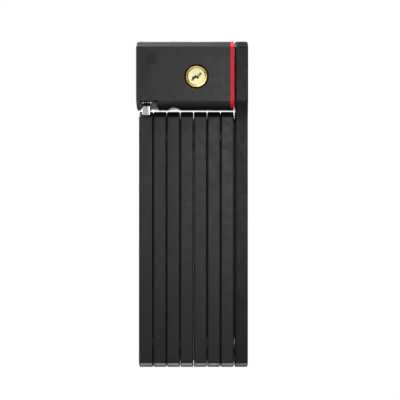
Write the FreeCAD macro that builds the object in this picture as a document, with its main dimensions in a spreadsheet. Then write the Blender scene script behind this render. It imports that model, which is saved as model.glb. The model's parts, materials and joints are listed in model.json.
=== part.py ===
import FreeCAD, Part
import math
import os
import Sketcher
from FreeCAD import Placement, Rotation, Vector

# A folding bike lock, folded: eight steel bars in moulded covers, hinged end to end, with a lock body
# across the tops of bars 1 to 7. Bar 8 runs up beside the body and turns on it.
# +X runs across the pack of bars, -Y is the key side, +Z is up, and every hinge turns about X.
# Millimetres. The origin is the centre of the whole lock's box.

DIMENSIONS = {
    # pack of bars
    "bar_pitch": 8.0,
    "last_bar_x": 28.9,
    "upper_pivot_z": 40.18,
    "lower_pivot_z": -82.18,
    "body_pivot_z": 76.78,
    "core_thick": 5.0,
    "core_half_width": 8.35,
    "core_end_radius": 14.05,
    "core_head_radius": 13.0,
    "tongue_radius": 20.65,
    "tongue_rounding": 0.8,
    "slot_half_width": 2.9,
    "slot_low_z": 57.7,
    "slot_high_z": 59.8,
    "cover_half_thick": 3.87,
    "head_half_thick": 3.5,
    "first_outer_half_thick": 4.35,
    "last_outer_half_thick": 4.1,
    "cover_half_width": 9.5,
    "cover_end_radius": 15.2,
    "cover_rounding": 0.85,
    "corner_rounding": 2.0,
    "raised_half_width": 7.0,
    "raised_end_radius": 11.2,
    "raised_gap": 0.02,
    "flare_height": 17.0,
    # hinges
    "rivet_radius": 4.0,
    "rivet_head_radius": 6.0,
    "rivet_head_thick": 0.95,
    "washer_radius": 7.4,
    "running_gap": 0.05,
    "loose_gap": 0.2,
    "body_rivet_radius": 5.0,
    "body_rivet_head_radius": 7.0,
    "body_washer_radius": 8.4,
    "body_rivet_depth": 6.4,
    # lock body
    "body_left_x": -33.0,
    "body_right_x": 22.7,
    "body_radius": 20.6,
    "body_half_depth": 13.0,
    "body_wall": 1.5,
    "end_wall": 1.7,
    "end_rounding": 0.9,
    "accent_thick": 2.1,
    "case_left_x": -24.4,
    "guide_right_x": -20.0,
    "guide_half_depth": 5.0,
    "mouth_top_z": 61.0,
    "rear_slot_top_z": 68.4,
    "notch_x": -10.9,
    "notch_width": 7.5,
    "notch_depth": 1.15,
    "strike_thick": 1.5,
    "strike_reach": 8.0,
    "nose_radius": 15.75,
    "guide_rise": 0.65,
    "rear_slot_left_gap": 0.4,
    "rear_slot_front_y": 5.0,
    "mark_x": -24.0,
    "mark_z": 86.4,
    "mark_width": 5.4,
    "mark_depth": 0.3,
    # latch
    "latch_stroke": 6.8,
    "blade_tip_x": -23.4,
    "blade_half_width": 2.5,
    "blade_low_z": 58.05,
    "blade_thick": 1.4,
    "carrier_right_x": 9.2,
    "carrier_width": 6.4,
    "carrier_front_y": 6.3,
    "carrier_thick": 2.3,
    "carrier_top_z": 81.9,
    "foot_top_z": 62.5,
    "carrier_land": 0.6,
    "carrier_slot_rise": 1.8,
    "slide_gap": 0.3,
    "spring_room_radius": 2.2,
    "spring_room_length": 6.0,
    "latch_spring_drop": 2.3,
    "latch_spring_radius": 1.6,
    "latch_wire_radius": 0.3,
    "latch_spring_turns": 5,
    # key cylinder
    "cylinder_x": 2.6,
    "cylinder_z": 75.1,
    "cylinder_tilt": 45.0,
    "plug_radius": 5.0,
    "barrel_radius": 6.1,
    "bezel_radius": 7.2,
    "barrel_front_y": -12.9,
    "plug_front_y": -12.2,
    "barrel_back_y": 4.4,
    "lobe_height": 11.0,
    "lobe_width": 4.8,
    "cam_radius": 6.0,
    "cam_thick": 1.5,
    "crank_radius": 1.0,
    "crank_length": 2.8,
    "crank_root": 0.2,
    "crank_play": 0.35,
    "plug_neck_radius": 3.0,
    "dish_lip": 0.25,
    "keyway_width": 1.1,
    "keyway_overlap": 0.2,
    "keyway_reach": 3.4,
    "keyway_length": 13.0,
    "ward_depth": 0.5,
    "ward_half_height": 0.6,
    "ward_drop": 1.7,
    "pin_radius": 1.2,
    "pin_play": 0.05,
    "pin_foot": 0.9,
    "pin_parting": 0.1,
    "driver_top": 7.4,
    "first_pin_depth": 5.0,
    "pin_pitch": 3.2,
    "pin_count": 4,
    "pin_spring_radius": 0.85,
    "pin_wire_radius": 0.2,
    "pin_spring_turns": 4,
}

UPRIGHT = Rotation()
ALONG_X = Rotation(Vector(0, 1, 0), 90)
ALONG_Y = Rotation(Vector(1, 0, 0), -90)

doc = FreeCAD.newDocument("FoldingLock")
sheet = doc.addObject("Spreadsheet::Sheet", "Sizes")
for row, (alias, size) in enumerate(DIMENSIONS.items(), start=1):
    sheet.set(f"A{row}", alias)
    sheet.set(f"B{row}", str(size))
    sheet.setAlias(f"B{row}", alias)
doc.recompute()

nodes = []


def bound(text):
    """An expression in aliases, spaced between words, as other objects of the document read it."""
    return " ".join("Sizes." + word if word in DIMENSIONS else word for word in str(text).split())


def number(text):
    """What a sum of aliases and plain numbers, spaced between words, comes to."""
    total, sign = 0.0, 1
    for word in str(text).split():
        if word in ("+", "-"):
            sign = 1 if word == "+" else -1
        else:
            total += sign * float(DIMENSIONS.get(word, word))
    return total


def bind(thing, **expressions):
    for name, text in expressions.items():
        thing.setExpression(name, bound(text))


def place(thing, rotation, x, y, z):
    thing.Placement = Placement(Vector(), rotation)
    for letter, text in zip("xyz", (x, y, z)):
        thing.setExpression("Placement.Base." + letter, bound(text))
    return thing


def block(name, x, y, z):
    """A box from (low, high) expressions along each axis."""
    made = doc.addObject("Part::Box", name)
    for side, (low, high) in zip(("Length", "Width", "Height"), (x, y, z)):
        made.setExpression(side, f"({bound(high)}) - ({bound(low)})")
    return place(made, UPRIGHT, x[0], y[0], z[0])


def rod(name, rotation, radius, length, x, y, z):
    """A round bar that starts at x, y, z and runs along the rotated Z axis."""
    made = doc.addObject("Part::Cylinder", name)
    bind(made, Radius=radius, Height=length)
    return place(made, rotation, x, y, z)


def join(name, *shapes):
    made = doc.addObject("Part::MultiFuse", name)
    made.Shapes = list(shapes)
    return made


def overlap(name, *shapes):
    made = doc.addObject("Part::MultiCommon", name)
    made.Shapes = list(shapes)
    return made


def cut(name, base, *tools):
    made = doc.addObject("Part::Cut", name)
    made.Base = base
    made.Tool = tools[0] if len(tools) == 1 else join(name + "_cutters", *tools)
    return made


def node(name, made):
    """Take an object as one of the lock's pieces."""
    made.Label = name
    nodes.append(made)
    return made


def rounded(name, base, radius, wanted):
    """Round the edges of base that wanted picks by their bounding box."""
    doc.recompute()
    made = doc.addObject("Part::Fillet", name)
    made.Base = base
    picked = [i for i, edge in enumerate(base.Shape.Edges, start=1) if wanted(edge.BoundBox)]
    made.Edges = [(i, number(radius), number(radius)) for i in picked]
    return made


def barrel(name, x, inset):
    """The lock body's section, a disc with flat front and rear, drawn in by inset, from x low to high."""
    low, high = x
    disc = rod(name + "_disc", ALONG_X, f"body_radius - {inset}", f"{high} - ( {low} )",
               low, "0", "body_pivot_z")
    slab = block(name + "_slab", x,
                 (f"0 - body_half_depth + {inset}", f"body_half_depth - {inset}"),
                 ("body_pivot_z - body_radius", "body_pivot_z + body_radius"))
    return overlap(name, disc, slab)


# ---------------------------------------------------------------- flat bars, cut from sheet

def origin_plane(body, role):
    return next(f for f in body.Origin.OriginFeatures if f.Role == role)


def side_sketch(body, name):
    """An empty sketch on the body's YZ plane: its own x is Y, its own y is Z."""
    sketch = body.newObject("Sketcher::SketchObject", name)
    sketch.AttachmentSupport = [(origin_plane(body, "YZ_Plane"), "")]
    sketch.MapMode = "FlatFace"
    return sketch


def dimension(sketch, name, constraint, text):
    index = sketch.addConstraint(constraint)
    sketch.renameConstraint(index, name)
    sketch.setExpression("Constraints." + name, bound(text))


def meet(sketch, *corners):
    """Close an outline: each corner is a line, its end, the next line and its end."""
    for corner in corners:
        sketch.addConstraint(Sketcher.Constraint("Coincident", *corner))


def draw_bar(sketch, half_width, low_z, low_radius, high_z, high_radius):
    """Two straight sides closed by an arc about each end's pivot."""
    w = number(half_width)
    ends = [(number(low_z), number(low_radius), -1), (number(high_z), number(high_radius), 1)]
    corner = [z + way * math.sqrt(r * r - w * w) for z, r, way in ends]
    right = sketch.addGeometry(Part.LineSegment(Vector(w, corner[0]), Vector(w, corner[1])))
    left = sketch.addGeometry(Part.LineSegment(Vector(-w, corner[1]), Vector(-w, corner[0])))
    arcs = []
    for (z, r, way), corner_z in zip(ends, corner):
        half = math.atan2(w, way * (corner_z - z))
        middle = way * math.pi / 2
        circle = Part.Circle(Vector(0, z), Vector(0, 0, 1), r)
        arcs.append(sketch.addGeometry(Part.ArcOfCircle(circle, middle - half, middle + half)))
    low, high = arcs
    meet(sketch, (right, 1, low, 2), (right, 2, high, 1), (left, 1, high, 2), (left, 2, low, 1))
    for line in (right, left):
        sketch.addConstraint(Sketcher.Constraint("Vertical", line))
    dimension(sketch, "right_half", Sketcher.Constraint("DistanceX", -1, 1, right, 1, w), half_width)
    dimension(sketch, "left_half", Sketcher.Constraint("DistanceX", left, 2, -1, 1, w), half_width)
    for end, arc, z, r in (("low", low, low_z, low_radius), ("high", high, high_z, high_radius)):
        sketch.addConstraint(Sketcher.Constraint("PointOnObject", arc, 3, -2))
        dimension(sketch, end + "_radius", Sketcher.Constraint("Radius", arc, number(r)), r)
        dimension(sketch, end + "_z", Sketcher.Constraint("DistanceY", -1, 1, arc, 3, number(z)), z)


def draw_circle(sketch, name, z, radius):
    ring = sketch.addGeometry(Part.Circle(Vector(0, number(z)), Vector(0, 0, 1), number(radius)))
    sketch.addConstraint(Sketcher.Constraint("PointOnObject", ring, 3, -2))
    dimension(sketch, name + "_radius", Sketcher.Constraint("Radius", ring, number(radius)), radius)
    dimension(sketch, name + "_z", Sketcher.Constraint("DistanceY", -1, 1, ring, 3, number(z)), z)


def pad(body, name, sketch, thick, side=0, other_way=None):
    """Fill a sketch's outline: side 0 both ways from the middle, 1 towards +X, -1 towards -X.

    With other_way, thick goes to +X and other_way to -X.
    """
    made = body.newObject("PartDesign::Pad", name)
    made.Profile = sketch
    if other_way:
        made.SideType = "Two sides"
        bind(made, Length2=other_way)
    elif side == 0:
        made.SideType = "Symmetric"
    made.Reversed = side < 0
    bind(made, Length=thick)
    return made


def pocket(body, name, sketch, depth, side):
    """Cut a sketch's outline: side 0 both ways from the middle, 1 towards +X, -1 towards -X."""
    made = body.newObject("PartDesign::Pocket", name)
    made.Profile = sketch
    if side == 0:
        made.SideType = "Symmetric"
    made.Reversed = side > 0
    bind(made, Length=depth)
    return made


def round_edges(body, name, base, radius, wanted):
    """Round the edges of the body so far that wanted picks by their bounding box."""
    doc.recompute()
    made = body.newObject("PartDesign::Fillet", name)
    edges = enumerate(base.Shape.Edges, start=1)
    made.Base = (base, [f"Edge{i}" for i, edge in edges if wanted(edge.BoundBox)])
    bind(made, Radius=radius)
    return made


def bar_x(number_of_bar):
    return f"last_bar_x - {8 - number_of_bar} * bar_pitch"


def draw_flare(sketch):
    """The waist where bar 8 widens to its head, between two hollow sides."""
    w, wide = number("cover_half_width"), number("body_half_depth")
    tall = number("flare_height")
    r = (tall ** 2 + (wide - w) ** 2) / (2 * (wide - w))
    top = number("body_pivot_z") - math.sqrt(number("body_radius") ** 2 - wide ** 2)
    low = top - tall
    turn = math.asin(tall / r)
    right = Part.ArcOfCircle(Part.Circle(Vector(w + r, low), Vector(0, 0, 1), r), math.pi - turn, math.pi)
    left = Part.ArcOfCircle(Part.Circle(Vector(-w - r, low), Vector(0, 0, 1), r), 0, turn)
    right, left = sketch.addGeometry(right), sketch.addGeometry(left)
    roof = sketch.addGeometry(Part.LineSegment(Vector(wide, top), Vector(-wide, top)))
    floor = sketch.addGeometry(Part.LineSegment(Vector(-w, low), Vector(w, low)))
    meet(sketch, (right, 1, roof, 1), (roof, 2, left, 2), (left, 1, floor, 1), (floor, 2, right, 2))
    sketch.addConstraint(Sketcher.Constraint("Symmetric", roof, 1, roof, 2, -2))
    sketch.addConstraint(Sketcher.Constraint("Symmetric", floor, 1, floor, 2, -2))
    for arc in (right, left):
        sketch.addConstraint(Sketcher.Constraint("Horizontal", floor, 1, arc, 3))
    widths = (("low_width", floor, 1, 2, "cover_half_width"), ("high_width", roof, 2, 1, "body_half_depth"))
    for name, line, start, end, half in widths:
        gap = Sketcher.Constraint("DistanceX", line, start, line, end, 2 * number(half))
        dimension(sketch, name, gap, f"2 * {half}")
    top_text = "body_pivot_z - sqrt( body_radius ^ 2 - body_half_depth ^ 2 )"
    dimension(sketch, "top", Sketcher.Constraint("DistanceY", -1, 1, roof, 1, top), top_text)
    dimension(sketch, "tall", Sketcher.Constraint("DistanceY", floor, 2, roof, 1, tall), "flare_height")


# Each hinge: the bar that carries the rivet, its neighbour towards -X, and the height of the rivet.
HINGES = [(k + 1, k, "upper" if k % 2 == 0 else "lower") for k in range(7, 0, -1)]
RIVET_END = {parent: end for parent, child, end in HINGES}
HINGE_END = {child: end for parent, child, end in HINGES}


def core_holes(k):
    """The radius of bar k's lower and upper holes: it turns on one rivet and carries the next."""
    holes = {"lower": None, "upper": None}
    if k in RIVET_END:
        holes[RIVET_END[k]] = "rivet_radius"
    if k in HINGE_END:
        holes[HINGE_END[k]] = "rivet_radius + running_gap"
    return holes


def draw_slot(sketch):
    """The tongue's oblong hole that the latch blade enters."""
    half, low, high = number("slot_half_width"), number("slot_low_z"), number("slot_high_z")
    corner = [Vector(-half, low), Vector(half, low), Vector(half, high), Vector(-half, high)]
    side = [sketch.addGeometry(Part.LineSegment(corner[i], corner[(i + 1) % 4])) for i in range(4)]
    for i in range(4):
        sketch.addConstraint(Sketcher.Constraint("Coincident", side[i], 2, side[(i + 1) % 4], 1))
        sketch.addConstraint(Sketcher.Constraint("Horizontal" if i % 2 == 0 else "Vertical", side[i]))
    dimension(sketch, "right", Sketcher.Constraint("DistanceX", -1, 1, side[0], 2, half), "slot_half_width")
    dimension(sketch, "left", Sketcher.Constraint("DistanceX", side[0], 1, -1, 1, half), "slot_half_width")
    dimension(sketch, "low", Sketcher.Constraint("DistanceY", -1, 1, side[0], 1, low), "slot_low_z")
    dimension(sketch, "high", Sketcher.Constraint("DistanceY", -1, 1, side[2], 1, high), "slot_high_z")


def bar_core(k):
    """The hardened steel plate inside bar k."""
    body = doc.addObject("PartDesign::Body", f"bar_{k}_core")
    sketch = side_sketch(body, f"bar_{k}_core_outline")
    high_z, high_radius = "upper_pivot_z", "core_end_radius"
    if k == 8:
        high_z, high_radius = "body_pivot_z", "core_head_radius"
    if k == 1:
        high_radius = "tongue_radius"
    draw_bar(sketch, "core_half_width", "lower_pivot_z", "core_end_radius", high_z, high_radius)
    for end, radius in core_holes(k).items():
        if radius:
            draw_circle(sketch, end + "_hole", f"{end}_pivot_z", radius)
    if k == 8:
        draw_circle(sketch, "body_hole", "body_pivot_z", "body_rivet_radius + running_gap")
    plate = pad(body, f"bar_{k}_core_plate", sketch, "core_thick")
    if k == 1:
        tips = round_edges(body, "tongue_corners", plate, "corner_rounding",
                           lambda box: box.XLength > 1 and abs(box.YMin) > number("rivet_radius") + 1)
        round_edges(body, "tongue_rim", tips, "tongue_rounding",
                    lambda box: box.XLength < 0.01 and (box.YLength > 9 or box.ZLength > 9))
        slot = side_sketch(body, "tongue_slot_outline")
        draw_slot(slot)
        pocket(body, "tongue_slot", slot, "core_thick", 0)
    return body


def bar_cover(k):
    """The moulded cover over bar k's plate, open over each rivet head and washer."""
    body = doc.addObject("PartDesign::Body", f"bar_{k}_cover")
    right = "last_outer_half_thick" if k == 8 else "cover_half_thick"
    left = {1: "first_outer_half_thick", 8: "head_half_thick"}.get(k, "cover_half_thick")
    outline = side_sketch(body, f"bar_{k}_cover_outline")
    high_z = "body_pivot_z" if k == 8 else "upper_pivot_z"
    draw_bar(outline, "cover_half_width", "lower_pivot_z", "cover_end_radius", high_z, "cover_end_radius")
    solid = pad(body, f"bar_{k}_cover_pad", outline, right, other_way=left)
    if k == 8:
        head = side_sketch(body, "bar_8_head_outline")
        draw_bar(head, "body_half_depth", high_z, "body_radius", high_z, "body_radius")
        pad(body, "bar_8_head", head, right, other_way=left)
        flare = side_sketch(body, "bar_8_flare_outline")
        draw_flare(flare)
        solid = pad(body, "bar_8_flare", flare, right, other_way=left)
    shoulder = number("body_pivot_z") / 2
    corners = round_edges(body, f"bar_{k}_cover_corners", solid, "corner_rounding",
                          lambda box: box.XLength > 1 and (box.ZMin < number("lower_pivot_z")
                                                           or box.ZMin > shoulder + 1))
    round_edges(body, f"bar_{k}_cover_rim", corners, "cover_rounding", lambda box: box.XLength < 0.01)
    for side, outermost in ((1, 8), (-1, 1)):
        if k != outermost:
            name = f"bar_{k}_cover_pad_{'right' if side > 0 else 'left'}"
            raised = side_sketch(body, name + "_outline")
            draw_bar(raised, "raised_half_width", "lower_pivot_z", "raised_end_radius",
                     "upper_pivot_z", "raised_end_radius")
            pad(body, name, raised, "bar_pitch / 2 - raised_gap / 2", side)
    hollow = side_sketch(body, f"bar_{k}_cover_cavity")
    high_radius = {1: "tongue_radius", 8: "core_head_radius"}.get(k, "core_end_radius")
    draw_bar(hollow, "core_half_width + running_gap", "lower_pivot_z", "core_end_radius + running_gap",
             high_z, high_radius + " + running_gap")
    pocket(body, f"bar_{k}_cover_pocket", hollow, "core_thick + 2 * running_gap", 0)
    openings = {1: [], -1: []}
    for ends, washer_side in ((HINGE_END, 1), (RIVET_END, -1)):
        if k in ends:
            openings[washer_side].append((ends[k], "washer_radius + loose_gap"))
            openings[-washer_side].append((ends[k], "rivet_head_radius + loose_gap"))
    if k == 8:
        openings[-1].append(("body", "body_washer_radius + loose_gap"))
        openings[1].append(("body", "body_rivet_head_radius + loose_gap"))
    for side, holes in openings.items():
        face = side_sketch(body, f"bar_{k}_cover_holes_{'right' if side > 0 else 'left'}")
        for end, radius in holes:
            draw_circle(face, end + "_opening", end + "_pivot_z", radius)
        if holes:
            pocket(body, face.Name + "_cut", face, "bar_pitch", side)
        else:
            body.removeObject(face)
            doc.removeObject(face.Name)
    return body


def rivet(parent, end):
    """A rivet fixed in the parent bar, its heads sunk in the openings of both covers."""
    child_x, parent_x = bar_x(parent - 1), bar_x(parent)
    z = end + "_pivot_z"
    left = f"{child_x} - core_thick / 2 - running_gap"
    shaft = rod(f"rivet_{parent}_shaft", ALONG_X, "rivet_radius", "bar_pitch + core_thick + running_gap",
                left, "0", z)
    head = rod(f"rivet_{parent}_left_head", ALONG_X, "rivet_head_radius", "rivet_head_thick",
               f"{left} - rivet_head_thick", "0", z)
    back = rod(f"rivet_{parent}_right_head", ALONG_X, "rivet_head_radius", "rivet_head_thick",
               f"{parent_x} + core_thick / 2", "0", z)
    return join(f"rivet_{parent}", shaft, head, back)


def washer(parent, end):
    """A steel washer on the rivet, between the two plates."""
    thick = "bar_pitch - core_thick - 2 * running_gap"
    x = f"{bar_x(parent)} - core_thick / 2 - ( {thick} )"
    z = end + "_pivot_z"
    disc = rod(f"washer_{parent}_disc", ALONG_X, "washer_radius", thick, x, "0", z)
    hole = rod(f"washer_{parent}_hole", ALONG_X, "rivet_radius", thick, x, "0", z)
    return cut(f"washer_{parent}", disc, hole)


for k in range(1, 9):
    for name, make in (("core", bar_core), ("cover", bar_cover)):
        made = node(f"bar_{k}_{name}", make(k))
        bind(made, **{"Placement.Base.x": bar_x(k)})
for parent, child, end in HINGES:
    node(f"rivet_{parent}_{child}", rivet(parent, end))
    node(f"washer_{parent}_{child}", washer(parent, end))


# ---------------------------------------------------------------- lock body

def on_cylinder(made):
    """Move a piece drawn about the Y axis to the key cylinder's place and tilt."""
    turn = Rotation(Vector(0, 1, 0), number("cylinder_tilt"))
    made.Placement = Placement(Vector(number("cylinder_x"), 0, number("cylinder_z")), turn)
    made.setExpression("Placement.Base.x", bound("cylinder_x"))
    made.setExpression("Placement.Base.z", bound("cylinder_z"))
    return made


def across(name, radius, y):
    """A rod about the Y axis from (low, high)."""
    return rod(name, ALONG_Y, radius, f"{y[1]} - ( {y[0]} )", "0", y[0], "0")


def barrel_hollow(name, gap):
    """The space of the cylinder housing and its lobe, widened by gap."""
    ends = ("barrel_front_y - 1", f"barrel_back_y + {gap}")
    round_part = across(name + "_round", f"barrel_radius + {gap}", ends)
    lobe = block(name + "_lobe", (f"0 - lobe_width / 2 - {gap}", f"lobe_width / 2 + {gap}"),
                 (f"0 - body_half_depth + body_wall + 2 * running_gap - {gap}", f"barrel_back_y + {gap}"),
                 ("0", f"lobe_height + {gap}"))
    return on_cylinder(join(name, round_part, lobe))


def pictogram():
    """Cutters for a small closed padlock sunk into the front face: a body with a keyhole, and a shackle."""
    face = "0 - body_half_depth"
    deep = ("0 - body_half_depth - 1", f"{face} + mark_depth")
    half, tall = "mark_width / 2", "mark_width * 0.7"
    body = block("mark_body", (f"mark_x - {half}", f"mark_x + {half}"), deep, (f"mark_z - {tall}", "mark_z"))
    eye = rod("mark_eye", ALONG_Y, "mark_width * 0.11", "2", "mark_x", f"{face} - 1", f"mark_z - {tall} / 2")
    solid_body = cut("mark_plate", body, eye)
    outer, inner = [rod("mark_shackle_" + name, ALONG_Y, f"mark_width * {share}", length, "mark_x",
                        f"{face} - 1", "mark_z")
                    for name, share, length in (("outer", 0.34, "1 + mark_depth"), ("inner", 0.21, "2"))]
    return solid_body, cut("mark_shackle", outer, inner)


# Ranges that reach just past the lock body: from front to rear, and its lowest point.
THROUGH = ("0 - body_half_depth - 1", "body_half_depth + 1")
UNDERNEATH = "body_pivot_z - body_radius - 1"


def body_casing():
    """The moulded sleeve around the lock, closed at the left, with the tongue's mouth and rear slot."""
    outside = barrel("casing_outside", ("body_left_x", "body_right_x"), "0")
    soft = rounded("casing_soft", outside, "end_rounding",
                   lambda box: box.XLength < 0.01 and box.XMin < number("body_left_x") + 0.1)
    inside = barrel("casing_inside", ("body_left_x + end_wall", "body_right_x + 1"), "body_wall")
    mouth = block("casing_mouth", ("body_left_x + end_wall", "guide_right_x"), THROUGH,
                  (UNDERNEATH, "mouth_top_z"))
    slot = block("casing_rear_slot", ("body_left_x + end_wall + rear_slot_left_gap", "case_left_x"),
                 ("rear_slot_front_y", THROUGH[1]), (UNDERNEATH, "rear_slot_top_z"))
    hole = rod("casing_keyhole", ALONG_Y, "bezel_radius", "body_half_depth", "cylinder_x",
               THROUGH[0], "cylinder_z")
    notch_radius = "( notch_width ^ 2 / 4 + notch_depth ^ 2 ) / ( 2 * notch_depth )"
    notch = rod("casing_notch", ALONG_Y, notch_radius, "2 * body_half_depth + 2", "notch_x", THROUGH[0],
                f"body_pivot_z - body_radius + notch_depth - {notch_radius}")
    return cut("body_casing_shape", soft, inside, mouth, slot, hole, notch, *pictogram())


def accent_plate():
    """The coloured end plate that closes the sleeve and spaces bar 8 from it."""
    plate = barrel("accent_outside", ("body_right_x", "body_right_x + accent_thick"), "0")
    hole = rod("accent_hole", ALONG_X, "body_rivet_radius", "accent_thick",
               "body_right_x", "0", "body_pivot_z")
    return cut("accent_plate_shape", plate, hole)


LATCH_LEFT = "carrier_right_x - carrier_width - latch_stroke"
SPRING_Z = "foot_top_z - latch_spring_drop"


def lock_case():
    """The hardened block inside the sleeve, bored for the key cylinder, the latch and the pivot rivet."""
    block_part = barrel("case_outside", ("case_left_x", "body_right_x"), "( body_wall + running_gap )")
    nose = barrel("case_nose", ("body_left_x + end_wall + strike_thick + 2 * running_gap", "case_left_x + 1"),
                  "( body_radius - nose_radius )")
    solid = join("case_solid", block_part, nose)
    guide = block("case_guide_cut", ("case_left_x - 1", "guide_right_x + running_gap"), THROUGH,
                  (UNDERNEATH, "mouth_top_z + running_gap"))
    channel = block("case_channel", ("case_left_x - 1", "carrier_right_x + slide_gap"),
                    ("0 - blade_half_width - slide_gap", "blade_half_width + slide_gap"),
                    (UNDERNEATH, "blade_low_z + blade_thick + slide_gap"))
    run = (LATCH_LEFT + " - slide_gap", "carrier_right_x + slide_gap")
    rear = "carrier_front_y + carrier_thick + slide_gap"
    foot_room = block("case_foot_room", run, ("0 - blade_half_width - slide_gap", rear),
                      (UNDERNEATH, "foot_top_z + slide_gap"))
    carrier_room = block("case_carrier_room", run, ("barrel_back_y", rear),
                         ("foot_top_z - 1", "carrier_top_z + slide_gap"))
    spring_room = rod("case_spring_room", ALONG_X, "spring_room_radius", "spring_room_length",
                      "carrier_right_x", "0", SPRING_Z)
    rivet_bore = rod("case_rivet_bore", ALONG_X, "body_rivet_radius", "body_rivet_depth + 1",
                     "body_right_x - body_rivet_depth", "0", "body_pivot_z")
    return cut("lock_case_shape", solid, guide, channel, foot_room, carrier_room, spring_room, rivet_bore,
               barrel_hollow("case_cylinder_room", "running_gap"))


def tongue_guide():
    """The hardened cheek beside the parked tongue, slotted for the latch blade."""
    cheek = block("guide_block", ("case_left_x", "guide_right_x"),
                  ("0 - guide_half_depth", "guide_half_depth"),
                  ("body_pivot_z - body_radius + guide_rise", "mouth_top_z"))
    slot = block("guide_slot", ("case_left_x - 1", "guide_right_x + 1"),
                 ("0 - blade_half_width - slide_gap", "blade_half_width + slide_gap"),
                 ("blade_low_z - slide_gap", "blade_low_z + blade_thick + slide_gap"))
    return cut("tongue_guide_shape", cheek, slot)


def strike_plate():
    """The thin steel plate beyond the tongue, with the hole that the blade's tip enters."""
    left = "body_left_x + end_wall + running_gap"
    plate = block("strike_block", (left, f"{left} + strike_thick"),
                  ("0 - guide_half_depth", "guide_half_depth"),
                  ("body_pivot_z - body_radius + guide_rise", "mouth_top_z + strike_reach"))
    hole = block("strike_hole", (f"{left} - 1", f"{left} + strike_thick + 1"),
                 ("0 - blade_half_width - slide_gap", "blade_half_width + slide_gap"),
                 ("blade_low_z - slide_gap", "blade_low_z + blade_thick + slide_gap"))
    return cut("strike_plate_shape", plate, hole)


def latch_bolt():
    """The blade, the foot that carries it and the slotted plate behind the cylinder, in one piece."""
    wide = ("0 - blade_half_width", "blade_half_width")
    foot = ("carrier_right_x - carrier_width", "carrier_right_x")
    back = "carrier_front_y + carrier_thick"
    blade = block("latch_blade", ("blade_tip_x", foot[1]), wide, ("blade_low_z", "blade_low_z + blade_thick"))
    riser = block("latch_riser", foot, wide, ("blade_low_z", "foot_top_z"))
    arm = block("latch_arm", foot, ("0", back), ("foot_top_z - carrier_thick", "foot_top_z"))
    plate = block("latch_plate", foot, ("carrier_front_y", back),
                  ("foot_top_z - carrier_thick", "carrier_top_z"))
    middle = "carrier_right_x - carrier_width / 2"
    half = "crank_radius + crank_play"
    slot = block("latch_slot", (f"{middle} - ( {half} )", f"{middle} + {half}"),
                 ("carrier_front_y - 1", f"{back} + 1"),
                 ("cylinder_z + carrier_slot_rise", "carrier_top_z - carrier_land"))
    return cut("latch_bolt_shape", join("latch_solid", blade, riser, arm, plate), slot)


# The crank swings from 45 degrees right of upright to 45 degrees left, which moves the latch by its stroke.
CRANK_ARM = "latch_stroke / 2 * sqrt( 2 )"


def cylinder_housing():
    """The brass barrel around the plug, with a dished front and the lobe that holds the pins."""
    ends = ("barrel_front_y", "barrel_back_y")
    outside = across("housing_round", "barrel_radius", ends)
    lobe = block("housing_lobe", ("0 - lobe_width / 2", "lobe_width / 2"),
                 ("0 - body_half_depth + body_wall + 2 * running_gap", "barrel_back_y"),
                 ("barrel_radius - 1", "lobe_height"))
    bore = across("housing_bore", "plug_radius + running_gap", ("barrel_front_y - 1", "barrel_back_y + 1"))
    dish = doc.addObject("Part::Cone", "housing_dish")
    bind(dish, Radius1="barrel_radius - dish_lip", Radius2="plug_radius + running_gap",
         Height="plug_front_y - barrel_front_y")
    place(dish, ALONG_Y, "0", "barrel_front_y", "0")
    chambers = pin_holes("housing", "plug_radius - 1", "lobe_height + 1")
    return cut("housing_shape", join("housing_solid", outside, lobe), bore, dish, chambers)


def pin_y(i):
    return f"plug_front_y + first_pin_depth + {i} * pin_pitch"


def pin_holes(name, low, high, radius="pin_radius"):
    """The row of pin chambers, or of pins, from one height above the cylinder's axis to another."""
    row = [rod(f"{name}_pin_{i}", UPRIGHT, radius, f"{high} - ( {low} )", "0", pin_y(i), low)
           for i in range(DIMENSIONS["pin_count"])]
    return join(name + "_pins", *row)


def key_plug():
    """The plug that the key turns, with its keyway, pin chambers, end flange and crank pin."""
    core = across("plug_core", "plug_radius", ("plug_front_y", "barrel_back_y"))
    flange = across("plug_flange", "cam_radius", ("barrel_back_y + running_gap", "barrel_back_y + cam_thick"))
    neck = across("plug_neck", "plug_neck_radius", ("barrel_back_y - 1", "barrel_back_y + 1"))
    crank = rod("plug_crank", ALONG_Y, "crank_radius", "crank_length + crank_root",
                "0", "barrel_back_y + cam_thick - crank_root", CRANK_ARM)
    depth = ("plug_front_y - 1", "plug_front_y + keyway_length")
    to_right = ("0 - keyway_overlap", "keyway_width")
    to_left = ("0 - keyway_width", "keyway_overlap")
    lower_ward = ("0 - ward_drop - ward_half_height", "0 - ward_drop + ward_half_height")
    way = [block("keyway_upper", to_right, depth, ("0 - ward_half_height", "keyway_reach")),
           block("keyway_lower", to_left, depth, ("0 - keyway_reach", "keyway_overlap")),
           block("keyway_rib", (to_left[0] + " - ward_depth", "0"), depth, lower_ward),
           block("keyway_heel", ("0", to_right[1] + " + ward_depth"), depth,
                 ("0 - ward_half_height", "ward_half_height"))]
    return cut("plug_shape", join("plug_solid", core, flange, neck, crank),
               join("keyway", *way), pin_holes("plug", "pin_foot", "plug_radius + 1"))


def bezel():
    """The black ring between the casing and the brass barrel."""
    ends = ("0 - body_half_depth + running_gap", "0 - body_half_depth + body_wall + running_gap")
    return cut("bezel_shape", across("bezel_ring", "bezel_radius", ends),
               across("bezel_bore", "barrel_radius", ends))


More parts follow.
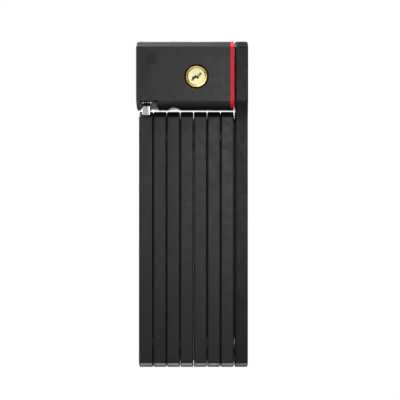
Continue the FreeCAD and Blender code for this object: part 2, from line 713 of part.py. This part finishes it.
def coil(name, radius, wire, length, turns, places):
    """Round-wire springs, one at each placement, wound up the local Z axis."""
    helix = Part.makeHelix((length - 2 * wire) / turns, length - 2 * wire, radius)
    helix.translate(Vector(0, 0, wire))
    first = helix.Edges[0]
    section = Part.Wire(Part.Circle(first.valueAt(first.FirstParameter),
                                    first.tangentAt(first.FirstParameter), wire).toShape())
    spring = Part.Wire(helix.Edges).makePipeShell([section], True, True)
    made = doc.addObject("Part::Feature", name)
    made.Shape = Part.makeCompound([spring.transformed(p.toMatrix(), True) for p in places])
    return made


def latch_spring():
    """The spring that presses the latch towards the tongue."""
    seat = Placement(Vector(number("carrier_right_x + running_gap"), 0, number(SPRING_Z)), ALONG_X)
    length = number("spring_room_length - running_gap - running_gap")
    return coil("latch_spring_shape", number("latch_spring_radius"), number("latch_wire_radius"),
                length, number("latch_spring_turns"), [seat])


def pin_springs():
    """A spring behind each driver pin, in the lobe."""
    foot, head = number("driver_top + running_gap"), number("lobe_height - running_gap")
    first, pitch = number("plug_front_y + first_pin_depth"), number("pin_pitch")
    seats = [Placement(Vector(0, first + i * pitch, foot), UPRIGHT)
             for i in range(DIMENSIONS["pin_count"])]
    row = coil("pin_springs_shape", number("pin_spring_radius"), number("pin_wire_radius"),
               head - foot, number("pin_spring_turns"), seats)
    return on_cylinder(row)


def pivot_rivet():
    """The rivet from the lock case through the end plate and bar 8."""
    bar = bar_x(8)
    start = "body_right_x - body_rivet_depth"
    end = f"{bar} + core_thick / 2 + running_gap"
    shaft = rod("pivot_shaft", ALONG_X, "body_rivet_radius", f"{end} - ( {start} )",
                start, "0", "body_pivot_z")
    head = rod("pivot_head", ALONG_X, "body_rivet_head_radius", "rivet_head_thick",
               end, "0", "body_pivot_z")
    return join("pivot_rivet_shape", shaft, head)


def pivot_washer():
    x = "body_right_x + accent_thick"
    thick = f"{bar_x(8)} - core_thick / 2 - ( {x} ) - running_gap"
    return cut("pivot_washer_shape",
               rod("pivot_washer_disc", ALONG_X, "body_washer_radius", thick, x, "0", "body_pivot_z"),
               rod("pivot_washer_hole", ALONG_X, "body_rivet_radius", thick, x, "0", "body_pivot_z"))


node("body_casing", body_casing())
node("accent_plate", accent_plate())
node("lock_case", lock_case())
node("tongue_guide", tongue_guide())
node("strike_plate", strike_plate())
node("latch_bolt", latch_bolt())
node("cylinder_housing", on_cylinder(cylinder_housing()))
node("key_plug", on_cylinder(key_plug()))
pin_fit = "pin_radius - pin_play"
key_pins = pin_holes("key", "pin_foot + pin_play", "plug_radius - pin_parting", pin_fit)
driver_pins = pin_holes("driver", "plug_radius + pin_parting", "driver_top", pin_fit)
node("key_pins", on_cylinder(key_pins))
node("driver_pins", on_cylinder(driver_pins))
node("cylinder_bezel", place(bezel(), UPRIGHT, "cylinder_x", "0", "cylinder_z"))
node("latch_spring", latch_spring())
node("pin_springs", pin_springs())
node("pivot_rivet", pivot_rivet())
node("pivot_washer", pivot_washer())

doc.recompute()
broken = [thing.Name for thing in doc.Objects if {"Invalid", "Error"} & set(thing.State)]
broken += [piece.Label for piece in nodes if piece.Shape.isNull() or not piece.Shape.isValid()]
if broken:
    raise SystemExit("not sound: " + ", ".join(broken))
os.makedirs("parts", exist_ok=True)
for piece in nodes:
    piece.Shape.exportStep(os.path.join("parts", piece.Label + ".step"))
print(len(nodes), "pieces written")
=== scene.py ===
import json
import math

import bpy
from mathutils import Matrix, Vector

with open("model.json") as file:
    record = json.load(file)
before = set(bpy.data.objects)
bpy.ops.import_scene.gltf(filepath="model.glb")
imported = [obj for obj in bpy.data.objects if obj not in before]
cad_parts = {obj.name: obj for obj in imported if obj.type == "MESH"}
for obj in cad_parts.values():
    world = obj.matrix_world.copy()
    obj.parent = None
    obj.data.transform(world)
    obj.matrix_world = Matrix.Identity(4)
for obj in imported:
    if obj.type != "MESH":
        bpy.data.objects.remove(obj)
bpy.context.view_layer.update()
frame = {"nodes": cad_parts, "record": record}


# ---------------------------------------------------------------- shader building blocks

# How curved a surface has to be to count as an outer edge, on Blender's scale where a flat is 0.5.
EDGE_STARTS = 0.505
EDGE_FULL = 0.56


class Shader:
    """A material with one Principled shader, and short calls for the nodes that feed it.

    Textures are placed in metres, so a scale is about the number of features in a metre.
    """

    def __init__(self, name, **constants):
        self.material = bpy.data.materials.new(name)
        self.material.use_nodes = True
        self.tree = self.material.node_tree
        self.surface = self.tree.nodes["Principled BSDF"]
        for socket, value in constants.items():
            self.surface.inputs[socket.replace("_", " ")].default_value = value
        self.place = self.tree.nodes.new("ShaderNodeTexCoord").outputs["Object"]

    def join(self, source, node, socket):
        self.tree.links.new(source, node.inputs[socket])

    def feed(self, source, socket):
        self.join(source, self.surface, socket)

    def stretched(self, scale):
        """The place with a scale of its own along X, Y and Z."""
        node = self.tree.nodes.new("ShaderNodeMapping")
        node.inputs["Scale"].default_value = scale
        self.join(self.place, node, "Vector")
        return node.outputs["Vector"]

    def noise(self, scale, detail=2.0, rough=0.5, where=None):
        node = self.tree.nodes.new("ShaderNodeTexNoise")
        node.inputs["Scale"].default_value = scale
        node.inputs["Detail"].default_value = detail
        node.inputs["Roughness"].default_value = rough
        self.join(where or self.place, node, "Vector")
        return node.outputs["Fac"]

    def cells(self, scale):
        node = self.tree.nodes.new("ShaderNodeTexVoronoi")
        node.inputs["Scale"].default_value = scale
        self.join(self.place, node, "Vector")
        return node.outputs["Distance"]

    def remap(self, source, low, high, new_low=0.0, new_high=1.0):
        node = self.tree.nodes.new("ShaderNodeMapRange")
        node.inputs["From Min"].default_value = low
        node.inputs["From Max"].default_value = high
        node.inputs["To Min"].default_value = new_low
        node.inputs["To Max"].default_value = new_high
        self.join(source, node, "Value")
        return node.outputs["Result"]

    def spread(self, noise, reach, new_low=0.0, new_high=1.0):
        """Noise keeps near a half: take what lies within reach of a half as the whole range."""
        return self.remap(noise, 0.5 - reach, 0.5 + reach, new_low, new_high)

    def blend_colours(self, factor, first, second):
        """Mix two colours, each a tuple or a node's output."""
        node = self.tree.nodes.new("ShaderNodeMix")
        node.data_type = "RGBA"
        self.join(factor, node, "Factor")
        for socket, colour in ((6, first), (7, second)):
            if isinstance(colour, tuple):
                node.inputs[socket].default_value = (*colour, 1.0)
            else:
                self.tree.links.new(colour, node.inputs[socket])
        return node.outputs[2]

    def relief(self, height, distance, strength, below=None):
        node = self.tree.nodes.new("ShaderNodeBump")
        node.inputs["Distance"].default_value = distance
        node.inputs["Strength"].default_value = strength
        self.join(height, node, "Height")
        if below:
            self.join(below, node, "Normal")
        return node.outputs["Normal"]

    def edges(self):
        """0 on flats, 1 on outer edges."""
        node = self.tree.nodes.new("ShaderNodeNewGeometry")
        return self.remap(node.outputs["Pointiness"], EDGE_STARTS, EDGE_FULL)


# ---------------------------------------------------------------- finishes

MOTTLING = 90.0
SHEEN_PATCHES = 240.0
CLOUDING = 260.0
GRIND_AND_BAND_SCALE = 900.0
DRAWN_LINES = 2600.0
ALONG_THE_LINES = 60.0
DRAWN_DEPTH = 0.00001
GRINDING_DEPTH = 0.00002


def moulded(name, dark, light, edge_wear_and_highlight, rough, grain, depth, gloss=0.5):
    """Moulded plastic: spark-eroded grain, faint mottling, and outer edges painted a little lighter,
    partly rubbing wear and partly a painted highlight on the rounded edges.
    """
    s = Shader(name, Specular_IOR_Level=gloss)
    mottled = s.blend_colours(s.spread(s.noise(MOTTLING, 3.0), 0.15), dark, light)
    # Outer edges painted lighter: rubbing wear, and a painted highlight along the rounded edges.
    s.feed(s.blend_colours(s.edges(), mottled, edge_wear_and_highlight), "Base Color")
    sheen = s.noise(SHEEN_PATCHES, 4.0)
    s.feed(s.spread(sheen, 0.2, rough - 0.05, rough + 0.06), "Roughness")
    pits = s.relief(s.cells(grain), depth, 0.35)
    s.feed(s.relief(s.noise(grain * 0.55, 3.0), depth, 0.5, pits), "Normal")
    return s.material


def metal(name, dark, light, rough, lines):
    """Bare or plated metal with slight clouding, and fine drawn lines of the given scales."""
    s = Shader(name, Metallic=1.0)
    drawn = s.noise(1.0, 4.0, 0.6, s.stretched(lines))
    clouds = s.noise(CLOUDING, 3.0)
    s.feed(s.blend_colours(s.spread(clouds, 0.2), dark, light), "Base Color")
    s.feed(s.spread(drawn, 0.2, rough - 0.05, rough + 0.09), "Roughness")
    s.feed(s.relief(drawn, DRAWN_DEPTH, 0.4), "Normal")
    return s.material


def ground_steel_with_painted_bands(name, dark, light, rough):
    """Plated steel with grinding streaks along the bar, coloured in bright and dull bands: real
    grinding, and painted reflection bands standing in for the light on a rounded rim.
    """
    s = Shader(name, Metallic=1.0)
    grind_and_reflection_bands = s.noise(1.0, 2.0, 0.5, s.stretched((GRIND_AND_BAND_SCALE, 40.0, 6.0)))
    # Bright and dull bands across X: grinding streaks, and a painted reflection on the tongue's rounded
    # rim.
    s.feed(s.blend_colours(s.spread(grind_and_reflection_bands, 0.12), dark, light), "Base Color")
    scratches = s.noise(1.0, 3.0, 0.6, s.stretched((DRAWN_LINES, 60.0, 20.0)))
    s.feed(s.spread(scratches, 0.2, rough - 0.06, rough + 0.1), "Roughness")
    s.feed(s.relief(grind_and_reflection_bands, GRINDING_DEPTH, 0.4), "Normal")
    return s.material


# Drawn lines' scales in X, Y and Z: fine across the lines, and stretched out along them.
ALONG_YZ = (DRAWN_LINES, ALONG_THE_LINES, ALONG_THE_LINES)
ALONG_XZ = (ALONG_THE_LINES, DRAWN_LINES, ALONG_THE_LINES)
ALONG_Z = (DRAWN_LINES, DRAWN_LINES, ALONG_THE_LINES)

# Each finish's last colour is for its outer edges, painted lighter: rubbing wear and a painted edge
# highlight.
PLASTICS = {
    "bar_cover": dict(
        dark=(0.009, 0.009, 0.0093), light=(0.0125, 0.0125, 0.013), edge_wear_and_highlight=(0.024, 0.024, 0.025),
        rough=0.44, grain=3400.0, depth=0.00003, gloss=0.4),
    # The last bar is the same plastic as the other bars, painted darker and less glossy: painted shade
    # for the downward-facing flare of its head.
    "last_bar_cover": dict(
        dark=(0.006, 0.006, 0.0062), light=(0.0085, 0.0085, 0.009), edge_wear_and_highlight=(0.018, 0.018, 0.019),
        rough=0.44, grain=3400.0, depth=0.00003, gloss=0.25),
    "casing_plastic": dict(
        dark=(0.0095, 0.0095, 0.0099), light=(0.013, 0.013, 0.0135), edge_wear_and_highlight=(0.026, 0.026, 0.027),
        rough=0.42, grain=3000.0, depth=0.000035, gloss=0.35),
    "red_plastic": dict(
        dark=(0.92, 0.005, 0.011), light=(1.0, 0.007, 0.014), edge_wear_and_highlight=(0.92, 0.03, 0.04),
        rough=0.5, grain=4200.0, depth=0.00001, gloss=0.2),
    "black_ring": dict(
        dark=(0.002, 0.002, 0.002), light=(0.003, 0.003, 0.003), edge_wear_and_highlight=(0.004, 0.004, 0.004),
        rough=0.5, grain=4200.0, depth=0.00001, gloss=0.08),
}

# Coated steel has the look of moulded plastic: a fine grain, and edges painted lighter, partly rubbing
# wear and partly a painted edge highlight.
COATED_STEELS = {
    "guide_grey": dict(
        dark=(0.04, 0.04, 0.042), light=(0.055, 0.055, 0.057), edge_wear_and_highlight=(0.09, 0.09, 0.09),
        rough=0.4, grain=3600.0, depth=0.00002),
    "blackened_steel": dict(
        dark=(0.010, 0.010, 0.010), light=(0.016, 0.016, 0.016), edge_wear_and_highlight=(0.03, 0.03, 0.03),
        rough=0.4, grain=3600.0, depth=0.00002),
}

METALS = {
    "zinc_steel": dict(dark=(0.24, 0.24, 0.25), light=(0.32, 0.32, 0.33), rough=0.42, lines=ALONG_YZ),
    "spring_steel": dict(dark=(0.4, 0.4, 0.42), light=(0.5, 0.5, 0.52), rough=0.3, lines=ALONG_Z),
    "brass": dict(dark=(0.90, 0.60, 0.14), light=(0.97, 0.70, 0.2), rough=0.5, lines=ALONG_XZ),
    # The plug is the same brass as the housing, painted paler: a painted reflection of the white
    # surroundings on its polished face.
    "pale_brass": dict(dark=(0.66, 0.62, 0.36), light=(0.72, 0.68, 0.42), rough=0.4, lines=ALONG_XZ),
}

MATERIALS = {name: moulded(name, **finish) for name, finish in (PLASTICS | COATED_STEELS).items()}
MATERIALS |= {name: metal(name, **finish) for name, finish in METALS.items()}
# The tongue steel's dull and bright colours: grinding streaks, and painted reflection bands.
MATERIALS["hardened_plate"] = ground_steel_with_painted_bands("hardened_plate", (0.36, 0.36, 0.37), (0.9, 0.9, 0.91), 0.28)


def dress_cad_nodes():
    """Give every node of the frame the finish of its material slot."""
    for part in frame["record"]["subparts"]:
        mesh = frame["nodes"][part["node"]].data
        mesh.materials.clear()
        mesh.materials.append(MATERIALS[part["material_slot"]])


# ---------------------------------------------------------------- studio

CAMERA_AIM = Vector((0.0009, 0.0, 0.0))
CAMERA_DISTANCE = 0.6
CLIP = (0.01, 20.0)
LENS_MM = 90.0
SENSOR_MM = 36.0
SHIFT = (0.016, 0.01075)

FLOOR_RADIUS = 1.6
FLOOR_Z = -1.15
FLOOR_SIDES = 96

LIGHT_AIM = (0.0, 0.0, 0.02)
WHITE = (1.0, 1.0, 1.0, 1.0)
SEEN_GLOW = 1.0
LIT_GLOW = 0.035


def soft_light(name, place, size, power, target=LIGHT_AIM):
    """A rectangular lamp at place, of size metres and power watts, turned towards target."""
    data = bpy.data.lights.new(name, "AREA")
    data.shape = "RECTANGLE"
    data.size, data.size_y = size
    data.energy = power
    light = bpy.data.objects.new(name, data)
    light.location = place
    light.rotation_euler = (Vector(target) - Vector(place)).to_track_quat("-Z", "Y").to_euler()
    bpy.context.scene.collection.objects.link(light)


def floor():
    """A pale round floor, low enough to stay under the lock when it is unfolded."""
    bpy.ops.mesh.primitive_circle_add(
        vertices=FLOOR_SIDES, radius=FLOOR_RADIUS, fill_type="NGON", location=(0, 0, FLOOR_Z))
    ground = bpy.context.object
    ground.name = "studio_floor"
    s = Shader("studio_floor", Roughness=0.9)
    s.feed(s.blend_colours(s.noise(3.0), (0.86, 0.86, 0.86), (0.9, 0.9, 0.9)), "Base Color")
    ground.data.materials.append(s.material)


def white_glow(background, strength):
    background.inputs["Color"].default_value = WHITE
    background.inputs["Strength"].default_value = strength
    return background.outputs[0]


def surroundings():
    """White all round for the camera, and a much weaker even light on the lock."""
    world = bpy.data.worlds.new("studio")
    bpy.context.scene.world = world
    world.use_nodes = True
    tree = world.node_tree
    seen = white_glow(tree.nodes["Background"], SEEN_GLOW)
    lit = white_glow(tree.nodes.new("ShaderNodeBackground"), LIT_GLOW)
    path = tree.nodes.new("ShaderNodeLightPath")
    mix = tree.nodes.new("ShaderNodeMixShader")
    tree.links.new(path.outputs["Is Camera Ray"], mix.inputs["Fac"])
    tree.links.new(lit, mix.inputs[1])
    tree.links.new(seen, mix.inputs[2])
    tree.links.new(mix.outputs[0], tree.nodes["World Output"].inputs["Surface"])


def camera():
    """Straight on to the key side, with a small shift to frame the lock."""
    data = bpy.data.cameras.new("camera")
    data.lens = LENS_MM
    data.sensor_width = SENSOR_MM
    data.shift_x, data.shift_y = SHIFT
    data.clip_start, data.clip_end = CLIP
    view = bpy.data.objects.new("camera", data)
    view.location = CAMERA_AIM - Vector((0.0, CAMERA_DISTANCE, 0.0))
    view.rotation_euler = (math.radians(90.0), 0.0, 0.0)
    bpy.context.scene.collection.objects.link(view)
    bpy.context.scene.camera = view


dress_cad_nodes()
floor()
surroundings()
soft_light("overhead_left", (-0.28, 0.0, 0.5), (0.26, 0.26), 10.0, (-0.05, 0.0, 0.09))
soft_light("front_right", (0.13, -0.62, 0.06), (0.26, 0.26), 1.4, (0.0, 0.0, 0.05))
soft_light("below", (0.0, 0.02, -0.45), (0.12, 0.05), 1.0, (0.0, 0.0, -0.09))
soft_light("rear", (-0.2, 0.7, 0.2), (0.5, 0.5), 6.0)
soft_light("right_side", (0.7, 0.3, 0.15), (0.4, 0.4), 2.6)
soft_light("left_side", (-0.7, 0.3, 0.15), (0.4, 0.4), 2.6)
soft_light("floor_wash", (0.0, 0.0, -0.35), (0.9, 0.9), 12.0, (0.0, 0.0, -1.0))
camera()
bpy.context.scene.view_settings.view_transform = "Standard"
